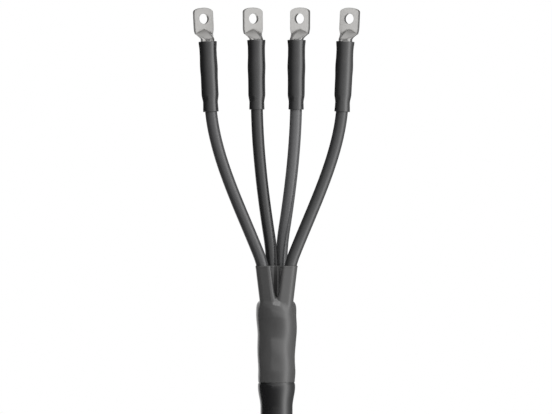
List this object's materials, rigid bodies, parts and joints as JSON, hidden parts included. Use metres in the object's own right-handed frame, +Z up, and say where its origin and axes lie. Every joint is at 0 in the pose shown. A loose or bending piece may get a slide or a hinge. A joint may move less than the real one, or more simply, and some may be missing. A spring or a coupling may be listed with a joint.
{
  "type": "cable termination",
  "caption": "Low-voltage heat-shrink cable termination: finger boot on a cable end, sleeved cores spreading to a row of bolt lugs.",
  "frame": {"origin": "centre of the cable's square-cut lower end", "axes": "+Z up along the cable towards the lugs, X along the row of lugs, -Y is the front"},
  "size_m": [0.1676, 0.0412, 0.4447],
  "materials": {
    "sheath_black": "satin",
    "bedding_grey": "matte",
    "mastic_brown": "matte",
    "sleeve_black": "semi-gloss",
    "boot_grey": "semi-gloss",
    "conductor_metal": "satin",
    "insulation_white": "satin",
    "tube_grey": "semi-gloss",
    "lug_metal": "satin",
    "lug_sleeve_black": "semi-gloss"
  },
  "bodies": {
    "root": {"outer_sheath": "sheath_black", "core_bedding": "bedding_grey", "mastic_band": "mastic_brown", "sheath_sleeve": "sleeve_black", "breakout_boot": "boot_grey", "conductor_1": "conductor_metal", "conductor_2": "conductor_metal", "conductor_3": "conductor_metal", "conductor_4": "conductor_metal", "core_insulation_1": "insulation_white", "core_insulation_2": "insulation_white", "core_insulation_3": "insulation_white", "core_insulation_4": "insulation_white", "core_tube_1": "tube_grey", "core_tube_2": "tube_grey", "core_tube_3": "tube_grey", "core_tube_4": "tube_grey", "lug_1": "lug_metal", "lug_2": "lug_metal", "lug_3": "lug_metal", "lug_4": "lug_metal", "lug_sleeve_1": "lug_sleeve_black", "lug_sleeve_2": "lug_sleeve_black", "lug_sleeve_3": "lug_sleeve_black", "lug_sleeve_4": "lug_sleeve_black"}
  },
  "joints": []
}
